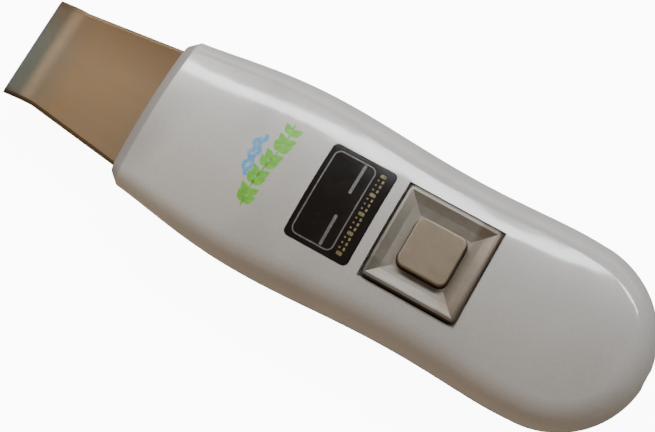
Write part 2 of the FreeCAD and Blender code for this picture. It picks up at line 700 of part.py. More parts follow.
def make_bezel():
    square = block("bezel_square", bezel_x, ZERO, S.panel_seat_height, S.bezel_side,
                   S.bezel_side, S.wall * 4)
    rounded = round_upright_edges("bezel_rounded", square, S.bezel_corner)
    crown = lying_rod("bezel_crown", bezel_x - S.bezel_side, ZERO,
                      S.parting_height + S.waist_crown + S.bezel_proud - S.bezel_crown_radius,
                      S.bezel_crown_radius, S.bezel_side * 2)
    blank = common("bezel_blank", rounded, crown)
    doc.recompute()
    bevelled = doc.addObject("Part::Chamfer", "bezel_bevelled")
    bevelled.Base = blank
    bevelled.Edges = [(index, S.bezel_bevel.value, S.bezel_bevel.value)
                      for index, edge in enumerate(blank.Shape.Edges, start=1)
                      if edge.BoundBox.ZMin > S.panel_seat_height.value + 1e-3]
    opening = S.button_side + S.button_gap * 2
    hole_blank = block("bezel_hole_blank", bezel_x, ZERO, board_top, opening, opening, BIG)
    hole = round_upright_edges("bezel_hole", hole_blank, S.button_corner + S.button_gap)
    return cut("button_bezel", bevelled, dish_tool(), hole)


def make_button():
    """Cap, retaining flange and the stem that presses the switch."""
    body = doc.addObject("PartDesign::Body", "button_cap")
    flange_base = flange_top - S.button_flange_height
    flange_side = S.button_side + S.button_flange * 2
    flange_sketch = sketch_on(body, "flange_outline", offset=flange_base)
    rectangle(flange_sketch, bezel_x, ZERO, flange_side, flange_side)
    pad(body, flange_sketch, "flange", S.button_flange_height)
    cap_sketch = sketch_on(body, "cap_outline", offset=flange_base)
    rectangle(cap_sketch, bezel_x, ZERO, S.button_side, S.button_side)
    pad(body, cap_sketch, "cap", S.button_top_height - flange_base)
    stem_sketch = sketch_on(body, "stem_outline", offset=plunger_top)
    circle(stem_sketch, bezel_x, ZERO, S.plunger_radius)
    stem = pad(body, stem_sketch, "stem", flange_top - plunger_top)
    doc.recompute()
    corners = [index for index, edge in enumerate(stem.Shape.Edges, start=1)
               if edge.BoundBox.ZLength > 1 and edge.BoundBox.XLength < 1e-6
               and edge.BoundBox.ZMax > S.button_top_height.value - 1e-3]
    round_corners = body.newObject("PartDesign::Fillet", "corner_round")
    round_corners.Base = (stem, ["Edge%d" % index for index in corners])
    bind(round_corners, "Radius", S.button_corner)
    doc.recompute()
    rim = [index for index, edge in enumerate(round_corners.Shape.Edges, start=1)
           if edge.BoundBox.ZMin > S.button_top_height.value - 1e-3]
    round_top = body.newObject("PartDesign::Fillet", "top_round")
    round_top.Base = (round_corners, ["Edge%d" % index for index in rim])
    bind(round_top, "Radius", S.button_edge_round)
    return body


def make_window():
    blank = block("window_blank", window_x, ZERO, S.panel_seat_height + S.adhesive_thickness,
                  S.window_length, S.window_width, S.wall * 4)
    rounded = round_upright_edges("window_rounded", blank, S.window_corner)
    return common("display_window", rounded, skin)


def make_adhesive():
    sheet_blank = block("adhesive_blank", window_x, ZERO, S.panel_seat_height,
                        S.window_length - S.window_corner, S.window_width - S.window_corner,
                        S.adhesive_thickness)
    opening = block("adhesive_opening", window_x, ZERO, board_top,
                    S.window_length - S.window_ledge * 2, S.window_width - S.window_ledge * 2,
                    BIG)
    return cut("window_adhesive", sheet_blank, opening)


piece(make_bezel(), "button_bezel")
piece(make_button(), "button_cap")
piece(make_window(), "display_window")
piece(make_adhesive(), "window_adhesive")


# ---- circuit board and what it carries --------------------------------------

def make_board():
    body = doc.addObject("PartDesign::Body", "main_board")
    outline = sketch_on(body, "board_outline", offset=S.board_height)
    rectangle(outline, board_x, ZERO, S.board_length, S.board_width)
    for x, y in board_holes:
        circle(outline, x, y, S.board_screw_radius + S.screw_clearance)
    pad(body, outline, "board", S.board_thickness)
    return body


def make_light_guide():
    blank = block("guide_blank", window_x, ZERO, board_top, S.guide_length, S.guide_width,
                  S.panel_seat_height - board_top)
    cells = [block("guide_cell_%d" % number, window_x, S.guide_cell_pitch * number, ZERO,
                   S.guide_cell_length, S.guide_cell_width, BIG) for number in range(-2, 3)]
    return cut("light_guide", blank, *cells)


def make_transformer():
    x, y = window_x, -S.connector_width * 2
    top_plate = block("core_upper_plate", x, y, S.board_height - S.core_plate, S.core_length,
                      S.core_width, S.core_plate)
    low_plate = block("core_lower_plate", x, y, S.board_height - S.core_height, S.core_length,
                      S.core_width, S.core_plate)
    leg = rod("core_leg", x, y, S.board_height - S.core_height, S.core_leg_radius, S.core_height)
    core = join("transformer_core", top_plate, low_plate, leg)
    coil_base = S.board_height - S.core_height + S.core_plate + S.seat_clearance
    coil_height = S.core_height - S.core_plate * 2 - S.seat_clearance * 2
    outer = rod("coil_outside", x, y, coil_base, S.core_leg_radius + S.winding_thickness,
                coil_height)
    inner = rod("coil_inside", x, y, coil_base, S.core_leg_radius + S.seat_clearance,
                coil_height)
    return core, cut("transformer_winding", outer, inner)


piece(make_board(), "main_board")
piece(screws("board_screws", board_holes, S.board_height, S.board_screw_radius,
             S.board_screw_length, S.board_screw_head, S.board_screw_head_height, True),
      "board_screws")
plunger_bore = rod("plunger_bore", bezel_x, ZERO, switch_top - S.plunger_depth,
                   S.plunger_radius + S.plunger_running_gap, BIG)
piece(cut("switch_housing", block("switch_block", bezel_x, ZERO, board_top, S.switch_side,
                                  S.switch_side, S.switch_height), plunger_bore),
      "switch_housing")
piece(cut("switch_cover", block("switch_plate", bezel_x, ZERO, switch_top, S.switch_side,
                                S.switch_side, S.switch_cover), plunger_bore), "switch_cover")
plunger_base = switch_top - S.plunger_depth + S.plunger_travel_gap
piece(rod("switch_plunger", bezel_x, ZERO, plunger_base, S.plunger_radius,
          plunger_top - plunger_base), "switch_plunger")
piece(make_light_guide(), "light_guide")
piece(group("indicator_lamps",
            *[block("lamp_%d" % number, window_x, S.guide_cell_pitch * number, board_top,
                    S.lamp_length, S.lamp_width, S.lamp_height) for number in range(-2, 3)]),
      "indicator_lamps")
control_x = board_x - S.board_length / 2 + S.control_chip_side + S.charge_chip_length
piece(block("control_chip", control_x, ZERO, board_top, S.control_chip_side,
            S.control_chip_side, S.control_chip_height), "control_chip")
piece(block("charge_chip", board_x - S.board_length / 2 + S.charge_chip_length, ZERO,
            board_top, S.charge_chip_length / 2, S.charge_chip_width, S.charge_chip_height),
      "charge_chip")
piece(group("drive_transistors",
            *both_sides(lambda name, y: block(name, bezel_x + S.bezel_side / 2, y, board_top,
                                              S.transistor_length, S.transistor_width,
                                              S.transistor_height),
                        "transistor", S.board_width / 2 - S.board_hole_inset)),
      "drive_transistors")
core, winding = make_transformer()
piece(core, "transformer_core")
piece(winding, "transformer_winding")
piece(rod("filter_capacitor", window_x, S.connector_width * 2,
          S.board_height - S.capacitor_height, S.capacitor_radius, S.capacitor_height),
      "filter_capacitor")
connector_x = board_front - S.connector_length
connector_base = S.board_height - S.connector_height
for name, y in (("battery_connector", -S.connector_spacing),
                ("transducer_connector", S.connector_spacing)):
    piece(block(name, connector_x, y, connector_base, S.connector_length, S.connector_width,
                S.connector_height), name)


# ---- battery ----------------------------------------------------------------

battery_x = tail_x + S.battery_from_tail + S.battery_length / 2
battery_front = battery_x + S.battery_length / 2
battery_base = S.wall + S.foam_thickness
cell_block = block("cell_block", battery_x, ZERO, battery_base, S.battery_length,
                   S.battery_width, S.battery_thickness)
piece(round_upright_edges("battery_cell", cell_block, S.battery_corner), "battery_cell")
protection_base = battery_base + S.seat_clearance
piece(block("battery_protection_board", battery_front + S.protection_thickness / 2, ZERO,
            protection_base, S.protection_thickness, S.protection_width, S.protection_height),
      "battery_protection_board")
pad_blocks = [block("foam_block_%d" % number, battery_x + side * S.battery_length / 3, ZERO,
                    ZERO, S.pad_length, S.pad_width, battery_base)
              for number, side in ((1, formula(-1)), (2, formula(1)))]
piece(group("battery_foam_pads",
            *[common("foam_pad_%d" % number, foam, cavity)
              for number, foam in enumerate(pad_blocks, start=1)]), "battery_foam_pads")


# ---- charging jack ----------------------------------------------------------

jack_face_x = tail_x + S.jack_setback
jack_back_x = jack_body_x + S.jack_body_length
nose = lying_rod("jack_nose", jack_face_x, ZERO, S.jack_height, S.jack_nose_radius,
                 S.jack_nose_length + S.wall)
jack_block = block("jack_block", jack_body_x + S.jack_body_length / 2, ZERO, jack_body_base,
                   S.jack_body_length, S.jack_body_width, S.jack_body_height)
jack_bore = lying_rod("jack_bore", jack_face_x - S.wall, ZERO, S.jack_height,
                      S.jack_bore_radius, S.jack_bore_depth + S.wall)
pin_start = jack_face_x + S.jack_pin_setback
pin_foot = jack_face_x + S.jack_bore_depth
pin_passage = lying_rod("pin_passage", pin_foot - S.jack_tag, ZERO, S.jack_height,
                        S.jack_pin_tail_radius, jack_back_x + S.jack_tag * 2 - pin_foot)
contact_length = jack_back_x + S.jack_tag - jack_body_x
contact_base = S.jack_height + S.jack_bore_radius - S.jack_contact_thickness / 2


def jack_contact(name):
    return block(name, jack_body_x + contact_length / 2, ZERO, contact_base, contact_length,
                 S.jack_contact_width, S.jack_contact_thickness)


piece(cut("charge_jack_housing", join("jack_blank", nose, jack_block), jack_bore, pin_passage,
          jack_contact("contact_slot")), "charge_jack_housing")
piece(join("charge_jack_pin",
           lying_rod("pin_shank", pin_start, ZERO, S.jack_height, S.jack_pin_radius,
                     pin_foot - pin_start),
           lying_rod("pin_tail", pin_foot - S.jack_tag, ZERO, S.jack_height,
                     S.jack_pin_tail_radius, jack_back_x + S.jack_tag * 2 - pin_foot)),
      "charge_jack_pin")
piece(jack_contact("charge_jack_contact"), "charge_jack_contact")


# ---- wires ------------------------------------------------------------------

def wire(name, points):
    """Insulated wire along a smooth line through points."""
    places = [V(*(formula(number).value for number in point)) for point in points]
    curve = Part.BSplineCurve()
    curve.interpolate(places)
    path = Part.Wire(curve.toShape())
    start, direction = curve.value(curve.FirstParameter), curve.tangent(curve.FirstParameter)[0]
    ring = Part.Wire(Part.makeCircle(S.wire_radius.value, start, direction))
    strand = doc.addObject("Part::Feature", name)
    strand.Shape = path.makePipeShell([ring], True, True)
    return strand


def wire_pair(name, y_near, y_far, route):
    """Two wires side by side; route gives x, outward step and z."""
    return group(name, *[wire("%s_%s" % (name, side),
                              [(x, y_near * (1 - step) + y_far * step + offset * spread, z)
                               for x, step, spread, z in route])
                         for side, offset in (("left", 1.0), ("right", -1.0))])


start_x = battery_front + S.protection_thickness + S.wire_radius
socket_x = connector_x - S.connector_length / 2 - S.wire_radius
battery_mid = battery_base + S.battery_thickness / 2
connector_mid = S.board_height - S.connector_height / 2
spacing = S.connector_spacing.value
piece(wire_pair("battery_wires", 0.0, -spacing,
                [(start_x, 0.0, 1.6, battery_mid), ((start_x * 2 + socket_x) / 3, 0.3, 1.2,
                                                    battery_mid),
                 ((start_x + socket_x * 2) / 3, 0.7, 1.0, connector_mid - S.wire_radius),
                 (socket_x, 1.0, 0.9, connector_mid)]), "battery_wires")
over_clamp = blade_top + S.damper_thickness + S.clamp_bar + S.wire_radius * 3
clamp_back, clamp_front = clamp_x - S.clamp_length / 2, clamp_x + S.clamp_length / 2
socket_front = connector_x + S.connector_length / 2 + S.wire_radius
disc_top = blade_top + S.piezo_thickness + S.wire_radius
piece(wire_pair("transducer_wires", spacing, 0.0,
                [(socket_front, 0.0, 0.9, connector_mid),
                 (board_front + S.wall, 0.2, 1.0, connector_mid),
                 ((board_front + clamp_x) / 2, 0.5, 1.4, (connector_mid + over_clamp) / 2),
                 (clamp_back, 0.8, 1.6, over_clamp), (clamp_front, 0.9, 1.7, over_clamp),
                 (piezo_x - S.piezo_radius / 2, 1.0, 1.8, disc_top + S.wire_radius * 2),
                 (piezo_x, 1.0, 2.0, disc_top)]), "transducer_wires")
wire_rise = S.board_height - S.wire_radius * 2
piece(wire_pair("charge_jack_wires", 0.0, 0.0,
                [(jack_back_x + S.wire_radius, 0.0, 2.2, S.jack_height - S.wire_radius),
                 (tail_x + S.rear_screw_from_tail + S.wall * 2, 0.0, 2.6,
                  S.jack_height - S.wire_radius),
                 (tail_x + S.battery_from_tail + S.wall, 0.0, 3.6, wire_rise),
                 (tail_x + S.board_from_tail + S.wall * 2, 0.0, 4.4,
                  S.board_height - S.wire_radius)]), "charge_jack_wires")


# ---- casing screws ----------------------------------------------------------

piece(screws("case_screws", case_screws, S.case_screw_seat, S.case_screw_radius,
             S.case_screw_length, S.case_screw_head, S.case_screw_head_height, True),
      "case_screws")


# ---- checks and export ------------------------------------------------------

doc.recompute()
for thing in doc.Objects:
    if "Invalid" in thing.State or "Error" in thing.State:
        raise RuntimeError("%s does not compute" % thing.Label)
os.makedirs("parts", exist_ok=True)
for thing in pieces:
    if thing.Shape.isNull() or not thing.Shape.isValid():
        raise RuntimeError("%s has no valid shape" % thing.Label)
    thing.Shape.exportStep("parts/%s.step" % thing.Label)
print("%d sub-parts written" % len(pieces))
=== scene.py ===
import json
import math

import bmesh
import bpy
from mathutils import Matrix, Vector
from mathutils.bvhtree import BVHTree


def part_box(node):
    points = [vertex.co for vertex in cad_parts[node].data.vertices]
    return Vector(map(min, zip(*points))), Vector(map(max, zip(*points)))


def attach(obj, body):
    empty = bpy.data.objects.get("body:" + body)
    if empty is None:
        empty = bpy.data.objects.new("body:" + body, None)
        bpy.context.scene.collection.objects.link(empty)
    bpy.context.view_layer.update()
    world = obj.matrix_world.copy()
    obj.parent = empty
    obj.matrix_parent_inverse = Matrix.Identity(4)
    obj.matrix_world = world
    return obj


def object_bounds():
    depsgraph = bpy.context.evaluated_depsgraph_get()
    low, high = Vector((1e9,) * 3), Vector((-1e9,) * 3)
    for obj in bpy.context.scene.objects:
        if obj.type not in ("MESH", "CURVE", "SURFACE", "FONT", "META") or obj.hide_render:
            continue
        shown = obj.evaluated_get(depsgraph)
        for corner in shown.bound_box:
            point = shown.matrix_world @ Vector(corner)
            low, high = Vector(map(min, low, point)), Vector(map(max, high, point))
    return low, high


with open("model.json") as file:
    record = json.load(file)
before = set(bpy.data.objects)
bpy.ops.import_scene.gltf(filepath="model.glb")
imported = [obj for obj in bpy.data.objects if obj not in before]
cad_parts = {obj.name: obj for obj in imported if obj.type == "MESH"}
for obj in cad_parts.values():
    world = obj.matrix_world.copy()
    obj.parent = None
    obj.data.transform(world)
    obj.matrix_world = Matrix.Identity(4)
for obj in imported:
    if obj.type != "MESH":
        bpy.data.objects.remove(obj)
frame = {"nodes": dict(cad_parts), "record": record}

MM = 0.001
TENT_RADIUS = 3.0          # metres
TENT_GLOW = 10.0
EDGE_TAPER = 0.1208        # half width that the blade loses per unit of length
INK_LIFT = 0.03 * MM       # how far a print stands out of its surface, and reaches into it
CUT_SPACING = 1.0          # millimetres between the cuts that let a print follow its surface
COLOR_A, COLOR_B, COLOR_RESULT = 6, 7, 2    # colour sockets of a Mix node
cad_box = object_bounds()      # measured before the printed pieces are added


# ---- camera, light and floor ------------------------------------------------

def make_camera():
    """Looks down on the button side from the tail, leaning to the left side."""
    place = Vector((-59.4, 68.9, 357.0)) * MM
    view = Vector((0.162, -0.187, -0.969)).normalized()
    right = view.cross(Vector((0.477, -0.845, 0.243))).normalized()
    up = right.cross(view)
    data = bpy.data.cameras.new("camera")
    data.lens = 82.4
    data.sensor_width = 36.0
    data.clip_start = 0.01
    camera = bpy.data.objects.new("camera", data)
    camera.matrix_world = Matrix.Translation(place) @ Matrix((right, up, -view)).transposed().to_4x4()
    bpy.context.scene.collection.objects.link(camera)
    bpy.context.scene.camera = camera


def area_light(name, place, size, watts, color):
    data = bpy.data.lights.new(name, "AREA")
    data.shape = "RECTANGLE"
    data.size, data.size_y = size
    data.energy = watts
    data.color = color
    lamp = bpy.data.objects.new(name, data)
    lamp.location = place
    aim = Vector((0, 0, 0.01)) - Vector(place)
    lamp.rotation_euler = aim.to_track_quat("-Z", "Y").to_euler()
    bpy.context.scene.collection.objects.link(lamp)


def make_lights():
    area_light("window_strip", place=(0.10, -0.52, 0.62), size=(1.5, 0.07), watts=9.0,
               color=(0.94, 0.97, 1.0))
    area_light("window_low", place=(0.10, -0.70, 0.16), size=(1.4, 0.22), watts=1.3,
               color=(0.96, 0.98, 1.0))
    area_light("front_fill", place=(0.72, -0.42, 0.55), size=(0.6, 0.6), watts=2.2,
               color=(1.0, 0.99, 0.97))


def make_world():
    """Room round the table, by side: grey at -Y, dim in the middle and warm at +Y."""
    world = bpy.data.worlds.new("studio")
    world.use_nodes = True
    nodes, links = world.node_tree.nodes, world.node_tree.links
    background = nodes["Background"]
    background.inputs["Strength"].default_value = 1.0
    direction = nodes.new("ShaderNodeTexCoord")
    split = nodes.new("ShaderNodeSeparateXYZ")
    links.new(direction.outputs["Generated"], split.inputs[0])
    side = nodes.new("ShaderNodeValToRGB")
    fill_ramp(side, [(0.0, (0.50, 0.51, 0.53)), (0.42, (0.26, 0.235, 0.20)),
                     (0.62, (0.21, 0.175, 0.14)), (1.0, (0.60, 0.475, 0.35))])
    shift = nodes.new("ShaderNodeMapRange")
    shift.inputs["From Min"].default_value = -1.0
    links.new(split.outputs["Y"], shift.inputs["Value"])
    links.new(shift.outputs["Result"], side.inputs["Fac"])
    links.new(side.outputs["Color"], background.inputs["Color"])
    bpy.context.scene.world = world


def make_floor():
    """White table and dome that glow, but give the object no light, reflection or shadow."""
    look = Look("light_tent", (0.93, 0.93, 0.92), roughness=0.85)
    look.shader.inputs["Emission Color"].default_value = (1, 1, 1, 1)
    look.shader.inputs["Emission Strength"].default_value = TENT_GLOW
    look.spot_color((0.90, 0.90, 0.89), scale=12, low=0.3, high=0.7)
    shape = bmesh.new()
    bmesh.ops.create_uvsphere(shape, u_segments=48, v_segments=24, radius=TENT_RADIUS)
    bmesh.ops.bisect_plane(shape, geom=shape.verts[:] + shape.edges[:] + shape.faces[:],
                           plane_co=(0, 0, 0), plane_no=(0, 0, 1), clear_inner=True)
    bmesh.ops.contextual_create(shape, geom=[edge for edge in shape.edges if edge.is_boundary])
    mesh = bpy.data.meshes.new("studio_tent")
    shape.to_mesh(mesh)
    shape.free()
    mesh.materials.append(look.material)
    tent = bpy.data.objects.new("studio_tent", mesh)
    bpy.context.scene.collection.objects.link(tent)
    tent.visible_diffuse = False
    tent.visible_glossy = False
    tent.visible_shadow = False


# ---- materials --------------------------------------------------------------

def fill_ramp(node, stops):
    """Sets the colours of a ramp node, each an RGB tuple or a grey number."""
    elements = node.color_ramp.elements
    while len(elements) < len(stops):
        elements.new(0.5)
    for element, (position, color) in zip(elements, stops):
        element.position = position
        element.color = (*color, 1) if isinstance(color, tuple) else (color, color, color, 1)


class Look:
    """A Principled material whose colour, roughness and bump are built up in layers."""

    def __init__(self, name, color, roughness=0.5, metallic=0.0, **sockets):
        self.material = bpy.data.materials.new(name)
        self.material.use_nodes = True
        self.nodes = self.material.node_tree.nodes
        self.links = self.material.node_tree.links
        self.shader = self.nodes["Principled BSDF"]
        self.shader.inputs["Metallic"].default_value = metallic
        self.shader.inputs["Roughness"].default_value = roughness
        for socket, value in sockets.items():
            self.shader.inputs[socket.replace("_", " ")].default_value = value
        self.color = self.nodes.new("ShaderNodeRGB").outputs[0]
        self.color.default_value = (*color, 1)
        self.links.new(self.color, self.shader.inputs["Base Color"])
        self.normal = None
        self.place = self.nodes.new("ShaderNodeTexCoord").outputs["Object"]

    def noise(self, scale, stretch=(1, 1, 1), detail=4.0):
        mapping = self.nodes.new("ShaderNodeMapping")
        mapping.inputs["Scale"].default_value = stretch
        texture = self.nodes.new("ShaderNodeTexNoise")
        texture.inputs["Scale"].default_value = scale
        texture.inputs["Detail"].default_value = detail
        self.links.new(self.place, mapping.inputs["Vector"])
        self.links.new(mapping.outputs[0], texture.inputs["Vector"])
        return texture.outputs["Fac"]

    def spread(self, value, low, high, start=0.0, end=1.0):
        """Maps value from low..high to start..end, held at its ends."""
        node = self.nodes.new("ShaderNodeMapRange")
        for socket, number in zip(("From Min", "From Max", "To Min", "To Max"), (low, high, start, end)):
            node.inputs[socket].default_value = number
        self.links.new(value, node.inputs["Value"])
        return node.outputs["Result"]

    def tint(self, factor, color):
        """Mixes color over what is there, by factor."""
        node = self.nodes.new("ShaderNodeMix")
        node.data_type = "RGBA"
        self.links.new(factor, node.inputs["Factor"])
        self.links.new(self.color, node.inputs[COLOR_A])
        node.inputs[COLOR_B].default_value = (*color, 1)
        self.color = node.outputs[COLOR_RESULT]
        self.links.new(self.color, self.shader.inputs["Base Color"])

    def spot_color(self, color, scale, low=0.4, high=0.7, stretch=(1, 1, 1), detail=4.0):
        """Tints where a noise is high."""
        self.tint(self.spread(self.noise(scale, stretch, detail), low, high), color)

    def along(self, axis, stops):
        """Factor along one of the object's axes: stops are (position in mm, value)."""
        split = self.nodes.new("ShaderNodeSeparateXYZ")
        self.links.new(self.place, split.inputs[0])
        low, high = stops[0][0], stops[-1][0]
        ramp = self.nodes.new("ShaderNodeValToRGB")
        fill_ramp(ramp, [((at - low) / (high - low), value) for at, value in stops])
        self.links.new(self.spread(split.outputs[axis], low * MM, high * MM), ramp.inputs["Fac"])
        return ramp.outputs["Color"]

    def math(self, operation, *values):
        """Math node: each value is a socket or a number."""
        node = self.nodes.new("ShaderNodeMath")
        node.operation = operation
        for socket, value in zip(node.inputs, values):
            if isinstance(value, (int, float)):
                socket.default_value = value
            else:
                self.links.new(value, socket)
        return node.outputs[0]

    def across(self, taper):
        """Distance from the middle plane, in metres, plus taper times the place along X."""
        split = self.nodes.new("ShaderNodeSeparateXYZ")
        self.links.new(self.place, split.inputs[0])
        return self.math("MULTIPLY_ADD", split.outputs["X"], taper,
                         self.math("ABSOLUTE", split.outputs["Y"]))

    def edge_wear(self, color, low=0.52, high=0.60):
        """Tints the sharp outer edges in places, as handling does."""
        shape = self.nodes.new("ShaderNodeNewGeometry")
        worn = self.spread(shape.outputs["Pointiness"], low, high)
        self.tint(self.math("MULTIPLY", worn, self.spread(self.noise(900), 0.35, 0.6)), color)

    def vary_roughness(self, low, high, scale, stretch=(1, 1, 1)):
        self.links.new(self.spread(self.noise(scale, stretch), 0.3, 0.7, low, high),
                       self.shader.inputs["Roughness"])

    def bump(self, scale, depth, stretch=(1, 1, 1), strength=0.5, detail=4.0):
        """Adds relief of about depth millimetres."""
        node = self.nodes.new("ShaderNodeBump")
        node.inputs["Strength"].default_value = strength
        node.inputs["Distance"].default_value = depth * MM
        self.links.new(self.noise(scale, stretch, detail), node.inputs["Height"])
        if self.normal:
            self.links.new(self.normal, node.inputs["Normal"])
        self.normal = node.outputs[0]
        self.links.new(self.normal, self.shader.inputs["Normal"])


def pearl_shell():
    """Clear-coated pearl plastic with flakes, with painted light that makes it lighter towards the blade
    and painted shade that makes the front rim grey.
    """
    look = Look("pearl_plastic", (0.41, 0.395, 0.375), Coat_Weight=1.0, Coat_Roughness=0.09)
    # Painted light: the shell is tinted lighter along X towards the blade end, where more light fell.
    look.tint(look.along("X", [(-85, 0.0), (-20, 0.15), (15, 0.6), (46, 0.9)]), (0.56, 0.535, 0.495))
    look.spot_color((0.37, 0.35, 0.33), scale=38, low=0.45, high=0.8)
    look.spot_color((0.58, 0.57, 0.555), scale=5200, low=0.62, high=0.72, detail=1.0)
    look.spot_color((0.34, 0.325, 0.33), scale=3300, low=0.66, high=0.74, detail=1.0)
    # Painted shade: the bevelled front rim is tinted a darker mauve grey.
    look.tint(look.along("X", [(46.4, 0.0), (47.0, 0.75), (49.5, 0.9)]), (0.285, 0.262, 0.25))
    look.edge_wear((0.58, 0.56, 0.53), 0.66, 0.8)
    look.vary_roughness(0.30, 0.44, 160)
    look.bump(700, 0.006, strength=0.35)
    look.bump(60, 0.05, strength=0.25, detail=2.0)
    return look


def blade_steel():
    """Champagne steel, brushed along X, with painted shade at the housing mouth, across the bend, on the
    -Y side and along the long edges, and a painted greenish grey reflection on the bent tip.
    """
    look = Look("champagne_steel", (0.31, 0.192, 0.095), metallic=1.0)
    look.spot_color((0.285, 0.18, 0.09), scale=1500, low=0.4, high=0.8, stretch=(0.03, 2.0, 1))
    look.spot_color((0.325, 0.206, 0.105), scale=2600, low=0.5, high=0.8, stretch=(0.03, 2.5, 1))
    look.spot_color((0.275, 0.172, 0.088), scale=45, low=0.45, high=0.8)
    look.edge_wear((0.24, 0.19, 0.13))
    # Painted shade: darker where the blade leaves the housing mouth and across the bend.
    mouth_and_bend_shade = [(49, 0.3), (58, 0.0), (70, 0.0), (76.5, 0.7), (80.5, 0.6), (85, 0.2)]
    look.tint(look.along("X", mouth_and_bend_shade), (0.19, 0.152, 0.105))
    # Painted reflection: the bent tip is tinted the darker greenish grey that it reflected.
    look.tint(look.along("X", [(78.8, 0.0), (81.2, 0.8), (85, 1.0)]), (0.16, 0.174, 0.147))
    # Painted shade: the blade is darker towards its -Y side.
    look.tint(look.along("Y", [(-14.5, 0.9), (-9.0, 0.5), (-2.0, 0.0)]), (0.16, 0.10, 0.054))
    # Painted shade: darker along the blade's long edges, as an edge shadow.
    look.tint(look.spread(look.across(EDGE_TAPER), 21.5 * MM, 23.4 * MM, 0.0, 0.85), (0.12, 0.08, 0.045))
    look.vary_roughness(0.39, 0.45, 1500, stretch=(0.03, 2.0, 1))
    look.bump(3200, 0.004, stretch=(0.03, 1.6, 1), strength=0.25)
    look.bump(55, 0.06, strength=0.15, detail=2.0)
    return look


def satin_metal(name, color, light, dark):
    """Satin plating with a fine grain along X."""
    look = Look(name, color, metallic=1.0)
    look.spot_color(dark, scale=420, low=0.45, high=0.8)
    look.spot_color(light, scale=3600, low=0.55, high=0.75, stretch=(0.1, 1.4, 1))
    look.edge_wear(light)
    look.vary_roughness(0.44, 0.56, 900, stretch=(0.15, 1.5, 1))
    look.bump(4200, 0.002, stretch=(0.08, 1.5, 1), strength=0.3)
    look.bump(140, 0.015, strength=0.15, detail=2.0)
    return look


def plated_bezel():
    """Satin plate with painted shade on the slopes to the left and rear, and a painted shadow line round
    two outer sides.
    """
    look = satin_metal("satin_plate", (0.275, 0.25, 0.215), (0.31, 0.285, 0.25), (0.245, 0.22, 0.185))
    # Painted shade on the slopes at the +Y side of the bezel.
    look.tint(look.along("Y", [(6.8, 0.0), (7.8, 0.9)]), (0.206, 0.187, 0.161))
    # Painted shade on the rear slope of the bezel.
    look.tint(look.along("X", [(-36.0, 0.9), (-34.8, 0.0)]), (0.195, 0.16, 0.125))
    # Painted shadow: a near-black line near the outer edges of the +X and +Y sides.
    low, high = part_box("button_bezel")
    middle = (low[0] + high[0]) / 2
    shadow_line_start = high[1] - 0.5 * MM
    shadow_line_end = high[1] - 0.3 * MM
    split = look.nodes.new("ShaderNodeSeparateXYZ")
    look.links.new(look.place, split.inputs[0])
    forward = look.math("SUBTRACT", split.outputs["X"], middle)
    outward = look.math("MAXIMUM", forward, split.outputs["Y"])
    look.tint(look.spread(outward, shadow_line_start, shadow_line_end, 0.0, 0.93), (0.02, 0.018, 0.016))
    return look


def glossy(name, color, light, roughness, **sockets):
    """Smooth moulded or glassy surface with faint handling marks."""
    look = Look(name, color, **sockets)
    look.spot_color(light, scale=90, low=0.5, high=0.8)
    look.spot_color(light, scale=1800, low=0.66, high=0.74, stretch=(0.3, 1, 1))
    look.vary_roughness(*roughness, 240)
    look.bump(260, 0.004, strength=0.3)
    return look


def grained(name, color, other, scale=1400, depth=0.02, roughness=(0.45, 0.65)):
    """Matt moulded, cast or sintered surface with a fine grain."""
    look = Look(name, color)
    look.spot_color(other, scale=scale / 12, low=0.4, high=0.7)
    look.spot_color(other, scale=scale, low=0.55, high=0.68)
    look.edge_wear(tuple(min(1.0, value * 1.25 + 0.02) for value in color))
    look.vary_roughness(*roughness, scale / 4)
    look.bump(scale, depth, strength=0.6)
    return look


def lined(name, color, other, stretch, scale, depth=0.02, metallic=1.0):
    """Turned, drawn or wound metal, with lines where stretch is uneven."""
    look = Look(name, color, metallic=metallic)
    look.spot_color(other, scale=scale, low=0.45, high=0.7, stretch=stretch)
    look.edge_wear(tuple(min(1.0, value * 1.2) for value in color))
    look.vary_roughness(0.3, 0.5, scale / 2, stretch)
    look.bump(scale, depth, stretch=stretch)
    return look


def board_look():
    """Green solder mask with a hint of the tracks below it."""
    look = Look("solder_mask", (0.02, 0.13, 0.055), Coat_Weight=0.4, Coat_Roughness=0.2)
    look.spot_color((0.035, 0.20, 0.09), scale=220, low=0.5, high=0.56, stretch=(1, 4, 1), detail=0.0)
    look.spot_color((0.035, 0.20, 0.09), scale=220, low=0.5, high=0.56, stretch=(4, 1, 1), detail=0.0)
    look.vary_roughness(0.25, 0.45, 500)
    look.bump(420, 0.02, stretch=(1, 4, 1), detail=1.0)
    return look


